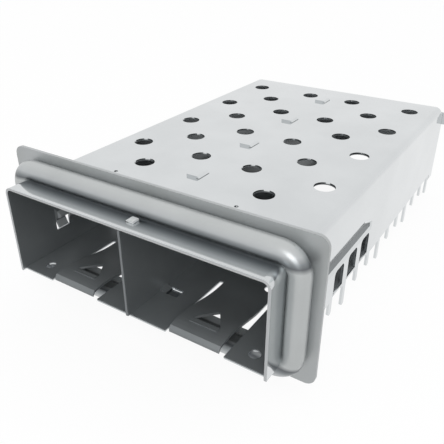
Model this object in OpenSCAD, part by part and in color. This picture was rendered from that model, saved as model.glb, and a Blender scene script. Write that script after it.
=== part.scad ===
// Ganged cage for small pluggable network modules, with a gasketed mouth.
// Millimetres. X runs across the ports, Y from the mouth to the rear, Z up.
// Z = 0 is the top face of the circuit board, Y = 0 the front edge of the mouth.

/* [Ports] */
// Number of module ports side by side
ports = 2; // [2:1:4]
// Clear width of one port
port_w = 14; // [13.8:0.05:14.4]
// Clear height of one port
port_h = 8.95; // [8.8:0.05:9.3]
// Length of the cage from the mouth to the rear wall
cage_l = 49.6; // [47:0.2:54]
// Height of the floor above the circuit board
standoff = 0.3; // [0.3:0.01:0.5]

/* [Sheet] */
// Thickness of the sheet
sheet_t = 0.25; // [0.2:0.01:0.28]
// Outer radius of the folds between the top and the side walls
side_bend_r = 0.75; // [0.5:0.05:1]
// Outer radius of the fold between the top and the rear wall
rear_bend_r = 1.5; // [1:0.1:2]
// Clearance between a sheet's edge and the slot or wall beside it
fit_gap = 0.05; // [0.03:0.01:0.08]

/* [Vent holes] */
// Diameter of a vent hole
vent_d = 2.1; // [1.5:0.1:2.5]
// Number of rows of vent holes
vent_rows = 8; // [4:1:8]
// Distance from the mouth to the first row
vent_front = 11.9; // [11:0.1:13]
// Distance from the last row to the rear wall
vent_rear = 5.5; // [4.5:0.1:7]
// Offset of the paired holes from the middle of their port
vent_pair_x = 4; // [3:0.1:4.4]

/* [Press-fit pins] */
// Number of pins along each side wall
pin_count = 11; // [9:1:12]
// Width of a pin
pin_w = 0.65; // [0.6:0.05:0.8]
// Reach of a short pin below the board's top face
pin_short = 1.65; // [1.4:0.05:2.2]
// Reach of a long pin, which finds its hole first
pin_long = 2.6; // [2.4:0.05:3.2]
// Distance from the mouth to the first pin
pin_front = 12.7; // [12:0.1:14]
// Distance from the last pin to the rear wall
pin_rear = 2.2; // [1.8:0.1:3]

/* [Side walls] */
// Number of tall slots between the front pins
comb_slots = 3; // [1:1:4]
// Width of the legs between the tall slots
leg_w = 1.2; // [1:0.05:1.3]
// Height of the tall slots above the board
comb_h = 3.1; // [2.4:0.1:3.1]
// Depth of the stiffening bead pressed into each wall
bead_depth = 0.3; // [0.15:0.05:0.4]
// Distance from the mouth to the front end of the bead
bead_front = 5; // [4.8:0.1:6]
// Height of the bead's lower edge above the board
bead_low = 3.2; // [3.2:0.1:3.6]
// Height of the bead's upper edge above the board
bead_high = 5.3; // [4.8:0.1:6]
// Height of the lower edge of the rear wall above the board
rear_wall_z = 1.8; // [1:0.1:2.4]

/* [Latch tongues] */
// Width of a latch tongue
tongue_w = 5.2; // [4.6:0.1:5.6]
// Width of the slots beside a tongue
tongue_slot = 0.45; // [0.35:0.05:0.6]
// Height of the tongue's crown above the floor
tongue_rise = 0.8; // [0.5:0.05:1]
// Half of the width of the triangular latch hole at its base
latch_half_w = 1.4; // [1:0.05:1.5]
// Length of the triangular latch hole
latch_l = 2.1; // [1.9:0.1:2.4]

/* [Divider] */
// Number of folded tabs behind the nose that hold a divider to the top
tab_count = 4; // [3:1:5]
// Width of a folded tab
tab_w = 1.75; // [1.2:0.05:2.2]
// Length of a folded tab, measured from the middle of the divider
tab_reach = 1.35; // [1:0.05:1.6]

/* [Flange and gasket] */
// Distance from the mouth to the front face of the flange
flange_y = 3.8; // [3.6:0.1:4.2]
// Thickness of the flange
flange_t = 0.3; // [0.25:0.05:0.4]
// Length of the collar drawn from the flange around the nose
collar_l = 0.5; // [0.3:0.05:0.5]
// Reach of the flange beyond the side walls
flange_side = 2.55; // [2.5:0.05:3.5]
// Reach of the flange above the top
flange_top = 2.5; // [2.4:0.05:3.5]
// Reach of the flange below the floor
flange_bottom = 2.4; // [2.3:0.05:2.6]
// Radius of the gasket's round cord
cord_r = 0.95; // [0.8:0.05:1]
// How far the cord is pressed flat against the nose and the flange
cord_squash = 0.1; // [0.05:0.01:0.15]

/* [Hidden] */
$fn = 32;
cut = 1; // how far a cutting tool runs past the sheet

// Ports and folded box
pitch = port_w + sheet_t;
half_w = (ports * pitch + sheet_t) / 2;
floor_top = standoff + sheet_t;
ceiling = floor_top + port_h;
top_z = ceiling + sheet_t;
bend_z = top_z - side_bend_r;
fold_z = top_z - rear_bend_r;
fold_y = cage_l - rear_bend_r;
skirt_y = flange_y + flange_t + collar_l;
port_xs = [for (i = [0 : ports - 1]) (i - (ports - 1) / 2) * pitch];
divider_xs = [for (i = [1 : ports - 1]) (i - ports / 2) * pitch];

// Vent holes, pins and slots
vent_step = (cage_l - vent_front - vent_rear) / (vent_rows - 1);
pilot_d = 0.4;
pilot_y = 8.5;
pilot_x = -0.9;
pin_step = (cage_l - pin_front - pin_rear) / (pin_count - 1);
comb_w = pin_step - leg_w;
comb_r = 0.5;
leg_lead = 0.85; // how far a leg runs in front of the middle of its pin
heel_l = 1.7;
heel_drop = 0.7;
wall_r = 0.8;
ear_low = 7.2;
ear_high = 8.8;
ear_y = cage_l - sheet_t - fit_gap;
ear_half_w = half_w + 0.6;
function pin_y(k) = pin_front + k * pin_step;
function comb_y(k) = pin_y(k) + leg_w - leg_lead + comb_w / 2;
function pin_reach(k) = k % 3 == 1 ? pin_long : pin_short;

// Bead and side window
bead_rear = pin_y(comb_slots) - leg_lead / 2;
bead_valley = (bead_low + bead_high) / 2;
bead_end = 0.6;
bead_taper = 2.6; // how much shorter the bead is at its upper edge
bead_taper_angle = atan2(bead_taper, bead_high - bead_valley);
bead_l = bead_rear - bead_front;
window_y = 5;
window_l = 1.8;
window_low = 2.7;
window_high = 4.05;
flap_l = 1.2;
flap_h = 1.15;
flap_lean = 22;

// Latch tongues
lip_y = 0.35;
lip_fold_y = 0.6;
crown_y = 1.85;
root_y = 8.2;
slot_end_y = 9.2;
lip_drop = 0.15;
lip_fold_drop = 0.3;
latch_y = 2.4;
rib_y = 1.75;
rib_l = 0.45;
rib_h = 0.08;
tongue_steps = 18;

// Floor
floor_half_w = half_w - sheet_t - fit_gap;
floor_end_y = cage_l - sheet_t - fit_gap;
corner_hole_d = 1.1;
corner_hole_y = 2;
corner_hole_inset = 2.2;
tooling_hole_d = 1.2;
tooling_hole_x = 1.8;
tooling_hole_y = 10.7;
bay_y = 33;
bay_half_w = 5.6;

// Divider tabs, feet and pins
fold_r = fit_gap;
nose_tab_y = 1.45;
nose_tab_w = 0.7;
nose_tab_reach = 0.75;
tab_front = 12.3;
tab_rear = 7;
tab_step = (cage_l - tab_front - tab_rear) / (tab_count - 1);
tab_ys = [for (k = [0 : tab_count - 1]) tab_front + k * tab_step];
foot_ys = [5.2, 15.2, 25.2];
foot_w = 1.1;
foot_run = 0.9;
foot_reach = 2.5;
foot_hole_reach = 2.1;
divider_pins = [for (k = [2 : 3 : pin_count - 1]) pin_y(k)];

// Flange and gasket
flange_r = 1;
collar_t = standoff - fit_gap;
cord_off = cord_r - cord_squash;
gasket_y = flange_y - cord_off;
gasket_half_w = half_w + cord_off;
gasket_low = standoff - cord_off;
gasket_high = top_z + cord_off;
gasket_bend_r = 1.8;

// An outline in Y and Z made into a plate that runs from x over the given width.
module yz_plate(x, width) {
    translate([x, 0, 0]) rotate([90, 0, 90]) linear_extrude(width) children();
}

// An outline in X and Z made into a bar that runs from y over the given length.
module xz_bar(y, length) {
    translate([0, y + length, 0]) rotate([90, 0, 0]) linear_extrude(length) children();
}

module both_sides() {
    children();
    mirror([1, 0, 0]) children();
}

// A rectangle with its two upper corners rounded.
module arch(half, low, high, r) {
    translate([-half, low]) square([2 * half, high - r - low]);
    translate([r - half, low]) square([2 * (half - r), high - low]);
    for (side = [-1, 1]) translate([side * (half - r), high - r]) circle(r);
}

// The upper right quarter of a ring.
module quarter_ring(outer, inner) {
    intersection() {
        difference() {
            circle(outer);
            circle(inner);
        }
        square(outer + cut);
    }
}

// The nose and everything behind it as one solid shape, seen from the front.
module nose_outline(gap) {
    arch(half_w + gap, standoff - gap, top_z + gap, side_bend_r + gap);
}

module pin_outline(reach) {
    translate([-pin_w / 2, pin_w / 2 - reach]) square([pin_w, reach]);
    translate([0, pin_w / 2 - reach]) circle(pin_w / 2);
}

module wall_outline() {
    difference() {
        union() {
            translate([0, standoff]) square([fold_y, bend_z - standoff]);
            translate([skirt_y, 0]) square([cage_l - skirt_y, ear_low - fit_gap]);
            translate([fold_y, 0]) square([ear_y - wall_r - fold_y, bend_z]);
            translate([fold_y, 0]) square([ear_y - fold_y, bend_z - wall_r]);
            translate([ear_y - wall_r, bend_z - wall_r]) circle(wall_r);
            translate([cage_l - heel_l, -heel_drop]) square([heel_l, heel_drop + standoff]);
        }
        for (k = [0 : comb_slots - 1])
            translate([comb_y(k), 0]) arch(comb_w / 2, -cut, comb_h, comb_r);
    }
    for (k = [0 : pin_count - 1]) translate([pin_y(k), 0]) pin_outline(pin_reach(k));
}

// The shape that the bead's punch presses into the right wall.
module bead_form() {
    outside = half_w + sheet_t / 2;
    bottom = half_w - bead_depth;
    intersection() {
        xz_bar(bead_front, bead_rear - bead_front) polygon([
            [outside, bead_low], [half_w, bead_low], [bottom, bead_valley],
            [half_w, bead_high], [outside, bead_high]]);
        translate([0, 0, bead_low]) linear_extrude(bead_high - bead_low) polygon([
            [outside, bead_front], [half_w, bead_front], [bottom, bead_front + bead_end],
            [bottom, bead_rear - bead_end], [half_w, bead_rear], [outside, bead_rear]]);
        translate([0, bead_rear, bead_valley]) rotate([bead_taper_angle, 0, 0])
            linear_extrude(2 * bead_l, center = true) polygon([
                [outside, -bead_l], [bottom, -bead_l], [bottom, -bead_end],
                [half_w, 0], [outside, 0]]);
    }
}

// The small flap that hangs from the window's upper edge, bent into the port.
module window_flap() {
    translate([half_w - sheet_t, window_y + fit_gap, window_high + sheet_t / 2])
        rotate([0, flap_lean, 0]) translate([0, 0, -flap_h])
            cube([sheet_t, flap_l, flap_h]);
}

module side_wall() {
    difference() {
        union() {
            yz_plate(half_w - sheet_t, sheet_t) wall_outline();
            translate([-sheet_t, 0, 0]) bead_form();
        }
        bead_form();
        translate([half_w - cut, window_y, window_low])
            cube([2 * cut, window_l, window_high - window_low]);
    }
    window_flap();
}

module top_sheet() {
    xz_bar(0, fold_y) difference() {
        arch(half_w, bend_z - sheet_t, top_z, side_bend_r);
        arch(half_w - sheet_t, bend_z - cut, ceiling, side_bend_r - sheet_t);
    }
}

module rear_wall() {
    fold_half_w = half_w - side_bend_r;
    wall_half_w = half_w - sheet_t - fit_gap;
    yz_plate(-fold_half_w, 2 * fold_half_w) translate([fold_y, fold_z])
        quarter_ring(rear_bend_r, rear_bend_r - sheet_t);
    yz_plate(-wall_half_w, 2 * wall_half_w) translate([cage_l - sheet_t, rear_wall_z])
        square([sheet_t, fold_z - rear_wall_z]);
    yz_plate(-ear_half_w, 2 * ear_half_w) translate([cage_l - sheet_t, ear_low])
        square([sheet_t, fold_z - ear_low]);
    both_sides() yz_plate(fold_half_w + fit_gap, ear_half_w - fold_half_w - fit_gap)
        translate([cage_l - sheet_t, ear_low]) square([sheet_t, ear_high - ear_low]);
}

// Single vent holes on the even rows and pairs on the odd rows of each port.
module vent_holes() {
    for (row = [0 : vent_rows - 1], x = port_xs, dx = row % 2 == 0 ? [0] : [-1, 1])
        translate([x + dx * vent_pair_x, vent_front + row * vent_step, ceiling - cut])
            cylinder(d = vent_d, h = sheet_t + 2 * cut);
}

module pilot_holes() {
    for (x = port_xs) translate([x + pilot_x, pilot_y, ceiling - cut])
        cylinder(d = pilot_d, h = sheet_t + 2 * cut);
}

// A slot for an upright tab of the divider, cut through a level sheet.
module tab_slot(x, y, z, width) {
    translate([x - sheet_t / 2 - fit_gap, y - width / 2 - fit_gap, z - cut])
        cube([sheet_t + 2 * fit_gap, width + 2 * fit_gap, sheet_t + 2 * cut]);
}

module upper_shell() {
    color("lightsteelblue") difference() {
        union() {
            top_sheet();
            both_sides() side_wall();
            rear_wall();
        }
        vent_holes();
        pilot_holes();
        for (x = divider_xs) {
            tab_slot(x, nose_tab_y, ceiling, nose_tab_w);
            for (y = tab_ys) tab_slot(x, y, ceiling, tab_w);
        }
    }
}

// Height of a tongue's upper face: a ramp up to the crown, a rounded lip, a folded edge.
function tongue_z(y) = floor_top + (y > crown_y
    ? tongue_rise * (1 - cos(180 * max(0, root_y - y) / (root_y - crown_y))) / 2
    : tongue_rise - lip_drop * pow((crown_y - y) / (crown_y - lip_fold_y), 2)
        - lip_fold_drop * max(0, lip_fold_y - y) / (lip_fold_y - lip_y));

module latch_tongue() {
    ys = [for (i = [0 : tongue_steps]) lip_fold_y + (root_y - lip_fold_y) * i / tongue_steps];
    ends = concat([lip_y], ys, [slot_end_y]);
    upper = [for (y = ends) [y, tongue_z(y)]];
    lower = [for (i = [len(ends) - 1 : -1 : 0]) [ends[i], tongue_z(ends[i]) - sheet_t]];
    difference() {
        union() {
            yz_plate(-tongue_w / 2, tongue_w) polygon(concat(upper, lower));
            translate([-latch_half_w, rib_y, floor_top + tongue_rise - sheet_t / 2])
                cube([2 * latch_half_w, rib_l, sheet_t / 2 + rib_h]);
        }
        linear_extrude(floor_top + tongue_rise + cut) polygon([
            [-latch_half_w, latch_y], [latch_half_w, latch_y], [0, latch_y + latch_l]]);
    }
}

module floor_outline() {
    difference() {
        union() {
            translate([-floor_half_w, lip_y])
                square([2 * floor_half_w, floor_end_y - lip_y]);
            for (k = [0 : comb_slots - 1])
                translate([-half_w, comb_y(k) - comb_w / 2 + fit_gap])
                    square([2 * half_w, comb_w - 2 * fit_gap]);
        }
        for (x = port_xs) translate([x, 0]) {
            translate([-tongue_w / 2 - tongue_slot, 0])
                square([tongue_w + 2 * tongue_slot, slot_end_y]);
            translate([-bay_half_w, bay_y]) square([2 * bay_half_w, cage_l]);
            translate([tooling_hole_x, tooling_hole_y]) circle(d = tooling_hole_d);
        }
        for (side = [-1, 1]) translate([side * (half_w - corner_hole_inset), corner_hole_y])
            circle(d = corner_hole_d);
    }
}

module floor_plate() {
    color("lightsteelblue") {
        difference() {
            translate([0, 0, standoff]) linear_extrude(sheet_t) floor_outline();
            for (x = divider_xs) {
                for (y = foot_ys)
                    translate([x - sheet_t / 2 - fit_gap, y - foot_w / 2 - fit_gap, 0])
                        cube([foot_hole_reach + sheet_t / 2 + fit_gap, foot_w + 2 * fit_gap, cut]);
                for (y = divider_pins) tab_slot(x, y, standoff, pin_w);
            }
        }
        for (x = port_xs) translate([x, 0, 0]) latch_tongue();
    }
}

// An upright tab that passes through the top sheet and is folded over to the left.
module folded_tab(y, width, reach) {
    bend_x = -sheet_t / 2 - fold_r;
    xz_bar(y - width / 2, width) {
        translate([-sheet_t / 2, ceiling - sheet_t])
            square([sheet_t, 2 * sheet_t - fold_r]);
        translate([bend_x, top_z - fold_r]) quarter_ring(fold_r + sheet_t, fold_r);
        translate([-reach, top_z]) square([reach + bend_x, sheet_t]);
    }
}

// A foot that slopes down through the floor and lies flat beneath it on the right.
module folded_foot(y) {
    low = standoff - sheet_t;
    xz_bar(y - foot_w / 2, foot_w) polygon([
        [-sheet_t / 2, floor_top + sheet_t], [sheet_t / 2, floor_top + sheet_t],
        [foot_run, standoff], [foot_reach, standoff], [foot_reach, low],
        [foot_run - sheet_t / 2, low], [-sheet_t / 2, floor_top - sheet_t / 2]]);
}

// The divider's sheet, whose upper rear corner is rounded to clear the rear fold.
module divider_outline() {
    corner_r = rear_bend_r - sheet_t;
    translate([0, floor_top]) square([fold_y - fit_gap, port_h - fit_gap]);
    translate([0, floor_top]) square([floor_end_y, fold_z - fit_gap - floor_top]);
    translate([fold_y - fit_gap, fold_z - fit_gap]) circle(corner_r);
}

module one_divider() {
    yz_plate(-sheet_t / 2, sheet_t) {
        divider_outline();
        for (y = divider_pins) translate([y, 0]) {
            pin_outline(pin_short);
            translate([-pin_w / 2, 0]) square([pin_w, floor_top + sheet_t]);
        }
    }
    mirror([1, 0, 0]) folded_tab(nose_tab_y, nose_tab_w, nose_tab_reach);
    for (y = tab_ys) folded_tab(y, tab_w, tab_reach);
    for (y = foot_ys) folded_foot(y);
}

module divider() {
    color("slategray") for (x = divider_xs) translate([x, 0, 0]) one_divider();
}

module flange_plate() {
    low = standoff - flange_bottom;
    high = top_z + flange_top;
    half = half_w + flange_side;
    color("silver") difference() {
        union() {
            xz_bar(flange_y, flange_t) {
                translate([-half, low + flange_r]) square([2 * half, high - low - 2 * flange_r]);
                translate([flange_r - half, low]) square([2 * (half - flange_r), high - low]);
                for (x = [flange_r - half, half - flange_r], z = [low + flange_r, high - flange_r])
                    translate([x, z]) circle(flange_r);
            }
            xz_bar(flange_y, flange_t + collar_l) nose_outline(fit_gap + collar_t);
        }
        xz_bar(flange_y - cut, flange_t + collar_l + 2 * cut) nose_outline(fit_gap);
    }
}

// The gasket's round cord: four straight runs joined by four quarter turns.
module gasket_ring() {
    run_x = 2 * (gasket_half_w - gasket_bend_r);
    run_z = gasket_high - gasket_low - 2 * gasket_bend_r;
    mid_z = (gasket_high + gasket_low) / 2;
    for (z = [gasket_low, gasket_high])
        translate([-run_x / 2, gasket_y, z]) rotate([0, 90, 0]) cylinder(r = cord_r, h = run_x);
    for (x = [-gasket_half_w, gasket_half_w])
        translate([x, gasket_y, mid_z - run_z / 2]) cylinder(r = cord_r, h = run_z);
    for (turn = [[1, 1, 0], [-1, 1, 90], [-1, -1, 180], [1, -1, 270]])
        translate([turn[0] * run_x / 2, gasket_y, mid_z + turn[1] * run_z / 2])
            rotate([90, -turn[2], 0]) rotate_extrude(angle = 90)
                translate([gasket_bend_r, 0]) circle(cord_r);
}

module emi_gasket() {
    color("dimgray") difference() {
        gasket_ring();
        xz_bar(-cut, flange_y + 2 * cut) nose_outline(0);
        translate([-2 * half_w, flange_y, -top_z]) cube([4 * half_w, 2 * cord_r, 3 * top_z]);
    }
}

upper_shell();
floor_plate();
divider();
flange_plate();
emi_gasket();
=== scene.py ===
"""A ganged cage for small network modules, finished in bright plated sheet, on a white table."""
import math

import bmesh
import bpy
from mathutils import Matrix, Vector


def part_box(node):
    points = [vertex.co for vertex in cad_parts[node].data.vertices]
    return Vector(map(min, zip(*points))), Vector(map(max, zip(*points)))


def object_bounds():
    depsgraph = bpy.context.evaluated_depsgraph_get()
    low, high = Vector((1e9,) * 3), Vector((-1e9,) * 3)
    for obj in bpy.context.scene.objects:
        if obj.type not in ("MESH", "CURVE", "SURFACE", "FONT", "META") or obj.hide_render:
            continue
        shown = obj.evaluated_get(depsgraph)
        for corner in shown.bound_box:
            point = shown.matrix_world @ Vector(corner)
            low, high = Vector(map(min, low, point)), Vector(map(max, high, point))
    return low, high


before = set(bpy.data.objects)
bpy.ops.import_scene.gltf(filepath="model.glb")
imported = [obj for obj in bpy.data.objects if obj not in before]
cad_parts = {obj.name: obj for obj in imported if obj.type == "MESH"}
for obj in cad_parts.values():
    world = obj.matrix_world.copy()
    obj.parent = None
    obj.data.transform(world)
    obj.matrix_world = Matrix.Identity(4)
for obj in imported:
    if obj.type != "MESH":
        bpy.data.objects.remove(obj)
cad_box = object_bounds()

MM = 0.001
SHEET = 0.25 * MM
FLOOR = 0.55 * MM
EAR = 0.6 * MM
SIDE_BEND = 0.75 * MM
REAR_BEND = 1.5 * MM
shell_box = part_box("upper_shell")
WALL_HALF = (shell_box[1][0] - shell_box[0][0]) / 2 - EAR
PORTS_HALF = WALL_HALF - SHEET / 2


# Camera

def add_camera():
    """A camera close to the mouth, to its right and above it."""
    azimuth = math.radians(33.01)
    elevation = math.radians(28.97)
    right = Vector((math.cos(azimuth), math.sin(azimuth), 0))
    back = Vector((math.sin(azimuth) * math.cos(elevation),
                   -math.cos(azimuth) * math.cos(elevation),
                   math.sin(elevation)))
    up = back.cross(right)
    data = bpy.data.cameras.new("camera")
    data.lens = 44.01
    data.sensor_width = 36
    data.clip_start = 0.001
    camera = bpy.data.objects.new("camera", data)
    camera.matrix_world = Matrix.LocRotScale(
        Vector((28.37, -27.90, 31.76)) * MM,
        Matrix((right, up, back)).transposed().to_quaternion(),
        None)
    bpy.context.collection.objects.link(camera)
    bpy.context.scene.camera = camera


# Nodes and materials

def new_material(name):
    """A node material, with its Principled shader."""
    material = bpy.data.materials.new(name)
    material.use_nodes = True
    shader = material.node_tree.nodes["Principled BSDF"]
    return material, shader


def add_node(tree, kind, **values):
    """A node with its properties and its inputs set by name."""
    node = tree.nodes.new(kind)
    for name, value in values.items():
        if hasattr(node, name):
            setattr(node, name, value)
        else:
            node.inputs[name].default_value = value
    return node


def object_noise(tree, scale, stretch=(1, 1, 1), detail=3):
    """Noise on Object coordinates, stretched along one axis for a rolled grain."""
    place = add_node(tree, "ShaderNodeTexCoord")
    mapping = add_node(tree, "ShaderNodeMapping", Scale=stretch)
    noise = add_node(tree, "ShaderNodeTexNoise", Scale=scale, Detail=detail)
    tree.links.new(place.outputs["Object"], mapping.inputs["Vector"])
    tree.links.new(mapping.outputs["Vector"], noise.inputs["Vector"])
    return noise.outputs["Fac"]


def ramp(tree, source, stops):
    """A colour ramp with its stops given as (place, colour)."""
    node = tree.nodes.new("ShaderNodeValToRGB")
    elements = node.color_ramp.elements
    while len(elements) < len(stops):
        elements.new(0.5)
    for element, (place, colour) in zip(elements, stops):
        element.position = place
        element.color = (*colour, 1)
    tree.links.new(source, node.inputs["Fac"])
    return node.outputs["Color"]


def span(tree, source, low, high):
    """A value from 0 to 1 spread between two limits."""
    node = add_node(tree, "ShaderNodeMapRange")
    node.inputs["To Min"].default_value = low
    node.inputs["To Max"].default_value = high
    tree.links.new(source, node.inputs["Value"])
    return node.outputs["Result"]


def bump(tree, shader, height, strength, distance):
    node = add_node(tree, "ShaderNodeBump", Strength=strength, Distance=distance)
    tree.links.new(height, node.inputs["Height"])
    tree.links.new(node.outputs["Normal"], shader.inputs["Normal"])


def mix(tree, factor, low, high, kind="FLOAT"):
    """The value or colour low where the factor is 0 and high where it is 1."""
    node = add_node(tree, "ShaderNodeMix", data_type=kind)
    first = {"FLOAT": 2, "RGBA": 6}[kind]
    for source, socket in ((factor, node.inputs[0]), (low, node.inputs[first]),
                           (high, node.inputs[first + 1])):
        if isinstance(source, bpy.types.NodeSocket):
            tree.links.new(source, socket)
        else:
            socket.default_value = source
    return node.outputs[{"FLOAT": 0, "RGBA": 2}[kind]]


def math_node(tree, operation, first, second=None):
    node = add_node(tree, "ShaderNodeMath", operation=operation)
    for place, value in ((0, first), (1, second)):
        if isinstance(value, bpy.types.NodeSocket):
            tree.links.new(value, node.inputs[place])
        elif value is not None:
            node.inputs[place].default_value = value
    return node.outputs[0]


def scaled(tree, source, factor, offset):
    """The source times the factor, plus the offset."""
    return math_node(tree, "ADD", math_node(tree, "MULTIPLY", source, factor), offset)


def object_parts(tree):
    """The X, Y and Z of a point of the object."""
    place = tree.nodes.new("ShaderNodeTexCoord")
    parts = tree.nodes.new("ShaderNodeSeparateXYZ")
    tree.links.new(place.outputs["Object"], parts.inputs[0])
    return parts.outputs


def all_of(tree, *tests):
    """1 where every test (comparison, value, limit) holds."""
    total = 1.0
    for operation, part, limit in tests:
        total = math_node(tree, "MULTIPLY", math_node(tree, operation, part, limit), total)
    return total


def port_shade_mask(tree):
    """1 on the faces that look into the ports, where shade is painted; 0 on the outside of the box
    and of its folds.
    """
    x, y, z = object_parts(tree)
    _, rear, top = shell_box[1]
    tests = [("GREATER_THAN", z, FLOOR - SHEET / 2), ("LESS_THAN", z, top - SHEET / 2)]
    for part, outside, bend in ((math_node(tree, "ABSOLUTE", x), WALL_HALF, SIDE_BEND),
                                (y, rear, REAR_BEND)):
        fold = outside + top - 2 * bend + (bend - SHEET / 2) * math.sqrt(2)
        tests += [("LESS_THAN", part, outside - SHEET / 2),
                  ("LESS_THAN", math_node(tree, "ADD", part, z), fold)]
    return all_of(tree, *tests)


def sheet_metal(name):
    """Nickel-plated sheet: soft clouding, fine rolled grain along Y; the faces in the ports get a
    darker, less metallic colour as painted shade.
    """
    material, shader = new_material(name)
    tree = material.node_tree
    inside = port_shade_mask(tree)
    clouds = object_noise(tree, 160)
    outer = ramp(tree, clouds, [(0.3, (0.62, 0.64, 0.65)), (0.7, (0.67, 0.69, 0.7))])
    # Painted shade: a dark, less metallic colour on the faces inside the ports, in place of the
    # plated sheet's colour.
    port_shade_colour = ramp(tree, clouds, [(0.3, (0.24, 0.26, 0.27)), (0.7, (0.3, 0.32, 0.33))])
    grain = object_noise(tree, 900, stretch=(1, 0.08, 1))
    sockets = {
        "Base Color": mix(tree, inside, outer, port_shade_colour, "RGBA"),
        "Metallic": mix(tree, inside, 1.0, 0.35),
        "Roughness": mix(tree, inside, span(tree, grain, 0.05, 0.1),
                         span(tree, grain, 0.4, 0.5))}
    bump(tree, shader, grain, 0.03, 0.01 * MM)
    return material, sockets


def matt_where(tree, sockets, mask, colour):
    """Turns the masked part into matt metal of one colour."""
    for name, value, kind in (("Base Color", colour, "RGBA"), ("Metallic", 0.2, "FLOAT"),
                              ("Roughness", 0.45, "FLOAT")):
        sockets[name] = mix(tree, mask, sockets[name], value, kind)


def wire(material, sockets):
    shader = material.node_tree.nodes["Principled BSDF"]
    for name, source in sockets.items():
        material.node_tree.links.new(source, shader.inputs[name])
    return material


def shell_sheet():
    """The box's sheet, with a matt sheared edge round the mouth whose pale colour is a painted
    highlight, and window flaps painted lighter than the ports' painted shade, as if lit.
    """
    material, sockets = sheet_metal("bright_sheet")
    tree = material.node_tree
    # Sheared edge round the mouth: the matt finish is real; its pale colour is a painted highlight.
    edge = math_node(tree, "LESS_THAN", object_parts(tree)[1], 0.03 * MM)
    matt_where(tree, sockets, edge, (0.8, 0.82, 0.83, 1))
    x, y, z = object_parts(tree)
    # Painted light: the window flaps inside the walls get a pale matt colour, lighter than the
    # painted shade in the ports, as if lit.
    flaps = all_of(tree, ("LESS_THAN", math_node(tree, "ABSOLUTE", x), PORTS_HALF - SHEET),
                   ("LESS_THAN", z, 5 * MM), ("LESS_THAN", y, 20 * MM),
                   ("GREATER_THAN", y, 2 * MM))
    matt_where(tree, sockets, flaps, (0.6, 0.63, 0.64, 1))
    return wire(material, sockets)


def floor_sheet():
    """The floor's sheet."""
    return wire(*sheet_metal("floor_sheet"))


def divider_sheet():
    """The divider's sheet, with a painted highlight: the folded tab at the mouth in a pale matt
    colour.
    """
    material, sockets = sheet_metal("divider_sheet")
    tree = material.node_tree
    _, y, z = object_parts(tree)
    # Painted highlight: the folded tab above the box's top, in front of the flange, is pale matt.
    tab = all_of(tree, ("GREATER_THAN", z, shell_box[1][2] + 0.05 * MM),
                 ("LESS_THAN", y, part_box("flange_plate")[0][1]))
    matt_where(tree, sockets, tab, (0.9, 0.92, 0.92, 1))
    return wire(material, sockets)


def flange_sheet():
    """Cold-rolled plate, a little greyer and softer in gloss than the box."""
    material, shader = new_material("flange_sheet")
    tree = material.node_tree
    shader.inputs["Metallic"].default_value = 0.6
    clouds = object_noise(tree, 160)
    colours = [(0.3, (0.47, 0.49, 0.49)), (0.7, (0.52, 0.54, 0.55))]
    tree.links.new(ramp(tree, clouds, colours), shader.inputs["Base Color"])
    grain = object_noise(tree, 900, stretch=(0.08, 1, 1))
    tree.links.new(span(tree, grain, 0.32, 0.42), shader.inputs["Roughness"])
    bump(tree, shader, grain, 0.03, 0.02 * MM)
    return material


def gasket_rubber():
    """Metal-filled rubber, with painted light: a painted highlight on its crown and painted shade
    where it meets the nose.
    """
    material, shader = new_material("gasket_rubber")
    tree = material.node_tree
    shader.inputs["Metallic"].default_value = 0.75
    (_, _, low), (_, _, high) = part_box("emi_gasket")
    height = math_node(tree, "SUBTRACT", object_parts(tree)[2], (high + low) / 2)
    depth = scaled(tree, math_node(tree, "ABSOLUTE", height), -1 / (2 * MM),
                   (high - low) / 2 / (2 * MM))
    # Painted light: pale on the crown, darkest about 1.6 mm in from the top and bottom, where the
    # cord meets the nose, as painted shade.
    crown = ramp(tree, depth, [
        (0.1, (0.57, 0.59, 0.59)), (0.4, (0.52, 0.54, 0.55)), (0.62, (0.26, 0.28, 0.29)),
        (0.8, (0.14, 0.15, 0.16)), (1.0, (0.53, 0.55, 0.55))])
    clouds = span(tree, object_noise(tree, 260), 0.9, 1.06)
    mottle_and_painted_light = add_node(tree, "ShaderNodeVectorMath", operation="SCALE")
    tree.links.new(crown, mottle_and_painted_light.inputs[0])
    tree.links.new(clouds, mottle_and_painted_light.inputs["Scale"])
    tree.links.new(mottle_and_painted_light.outputs[0], shader.inputs["Base Color"])
    skin = object_noise(tree, 2500)
    tree.links.new(span(tree, skin, 0.32, 0.42), shader.inputs["Roughness"])
    bump(tree, shader, skin, 0.05, 0.02 * MM)
    return material


def finish_node(name, material):
    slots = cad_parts[name].material_slots
    for slot in slots:
        slot.material = material


def finish_nodes():
    finish_node("upper_shell", shell_sheet())
    finish_node("floor_plate", floor_sheet())
    finish_node("divider", divider_sheet())
    finish_node("flange_plate", flange_sheet())
    finish_node("emi_gasket", gasket_rubber())


# Table, light and surroundings

def flat_piece(name, low, high, z):
    """A level rectangle for the table."""
    mesh = bpy.data.meshes.new(name)
    shape = bmesh.new()
    bmesh.ops.create_grid(shape, x_segments=1, y_segments=1, size=0.5)
    size = Vector((high[0] - low[0], high[1] - low[1], 1))
    middle = Vector(((high[0] + low[0]) / 2, (high[1] + low[1]) / 2, z))
    bmesh.ops.transform(shape, matrix=Matrix.LocRotScale(middle, None, size), verts=shape.verts)
    shape.to_mesh(mesh)
    shape.free()
    piece = bpy.data.objects.new(name, mesh)
    bpy.context.collection.objects.link(piece)
    return piece


def shown_directly(tree):
    """1 where the camera sees a surface straight, in a reflection or through glass."""
    path = tree.nodes.new("ShaderNodeLightPath")
    total = path.outputs["Is Camera Ray"]
    for name in ("Is Glossy Ray", "Is Transmission Ray"):
        node = add_node(tree, "ShaderNodeMath", operation="MAXIMUM")
        tree.links.new(total, node.inputs[0])
        tree.links.new(path.outputs[name], node.inputs[1])
        total = node.outputs[0]
    return total


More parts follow.
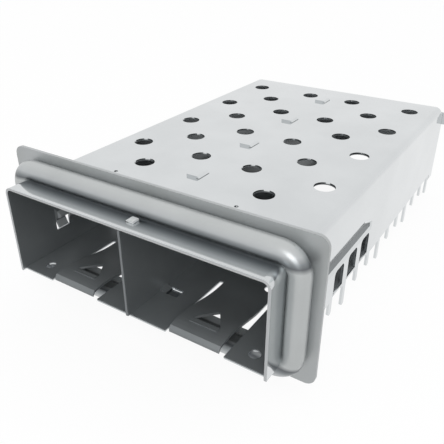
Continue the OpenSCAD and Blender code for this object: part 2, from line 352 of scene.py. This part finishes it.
def add_table():
    table = flat_piece("table", (-3, -3), (3, 3), cad_box[0][2])
    material, shader = new_material("white_table")
    tree = material.node_tree
    shader.inputs["Roughness"].default_value = 0.9
    shader.inputs["Specular IOR Level"].default_value = 0
    shader.inputs["Base Color"].default_value = (0.1, 0.1, 0.1, 1)
    glow = add_node(tree, "ShaderNodeMath", operation="MULTIPLY")
    glow.inputs[1].default_value = 0.92
    tree.links.new(shown_directly(tree), glow.inputs[0])
    shader.inputs["Emission Color"].default_value = (1, 1, 1, 1)
    tree.links.new(glow.outputs[0], shader.inputs["Emission Strength"])
    table.data.materials.append(material)


def add_world():
    """White surroundings, whose soft light comes from overhead and from behind."""
    world = bpy.data.worlds.new("studio")
    bpy.context.scene.world = world
    world.use_nodes = True
    tree = world.node_tree
    place = tree.nodes.new("ShaderNodeTexCoord")
    slope = add_node(tree, "ShaderNodeVectorMath", operation="DOT_PRODUCT")
    tree.links.new(place.outputs["Generated"], slope.inputs[0])
    slope.inputs[1].default_value = (0, 0.5, 0.85)
    sky = ramp(tree, scaled(tree, slope.outputs["Value"], 0.5, 0.5), [
        (0.35, (0.07, 0.078, 0.085)), (0.5, (0.13, 0.14, 0.15)), (0.57, (0.45, 0.46, 0.47)),
        (0.65, (1.0, 1.0, 1.0)), (0.8, (1.08, 1.08, 1.08))])
    shown = shown_directly(tree)
    backdrop = mix(tree, shown, sky, (1, 1, 1, 1), "RGBA")
    tree.links.new(backdrop, tree.nodes["Background"].inputs["Color"])
    level = mix(tree, shown, 0.75, 1.0)
    tree.links.new(level, tree.nodes["Background"].inputs["Strength"])


def add_front_lamp():
    """A broad soft lamp in front of the mouth, to its right and above it."""
    data = bpy.data.lights.new("front_lamp", "AREA")
    data.shape = "DISK"
    data.size = 100 * MM
    data.energy = 0.06
    lamp = bpy.data.objects.new("front_lamp", data)
    mouth = Vector((8.8, 0, 8.3)) * MM
    away = Vector((58, -115, 62)) * MM
    lamp.matrix_world = Matrix.LocRotScale(
        mouth + away, away.to_track_quat("Z", "Y"), None)
    bpy.context.collection.objects.link(lamp)


add_camera()
finish_nodes()
add_table()
add_world()
add_front_lamp()

bpy.context.scene.view_settings.view_transform = "Standard"
